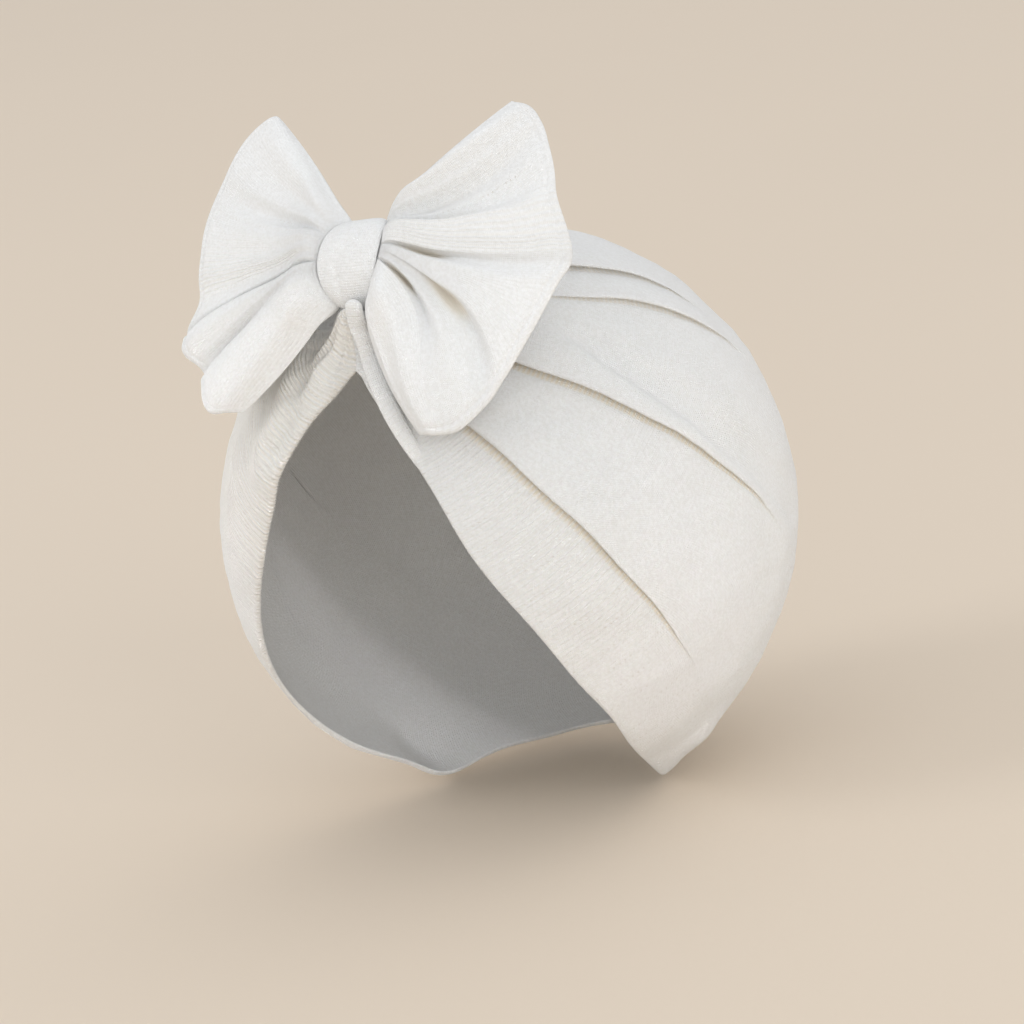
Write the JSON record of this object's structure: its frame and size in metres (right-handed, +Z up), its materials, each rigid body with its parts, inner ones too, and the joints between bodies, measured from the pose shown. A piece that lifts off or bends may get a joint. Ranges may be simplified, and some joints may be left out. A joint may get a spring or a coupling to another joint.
{
  "type": "baby turban hat with a bow",
  "caption": "Hollow knit turban hat for a baby: pleated crown gathered over the forehead under a large soft bow and its wrap, open at the face and neck.",
  "frame": {"origin": "top of the crown's inside, where the wearer's head touches it", "axes": "+Z up out of the top of the wearer's head, -Y the way the face looks, +X the wearer's left"},
  "size_m": [0.1534, 0.1459, 0.1859],
  "materials": {
    "crown_knit": "fine off-white pointelle jersey, matt, with rows of small holes near the face edge",
    "bow_knit": "the same off-white jersey in a pressed double layer, with ribbed and pointelle stripes across the wings",
    "wrap_knit": "the same off-white jersey, its courses running along the wings"
  },
  "bodies": {
    "root": {"crown": "crown_knit", "bow": "bow_knit", "knot_wrap": "wrap_knit"}
  },
  "joints": []
}
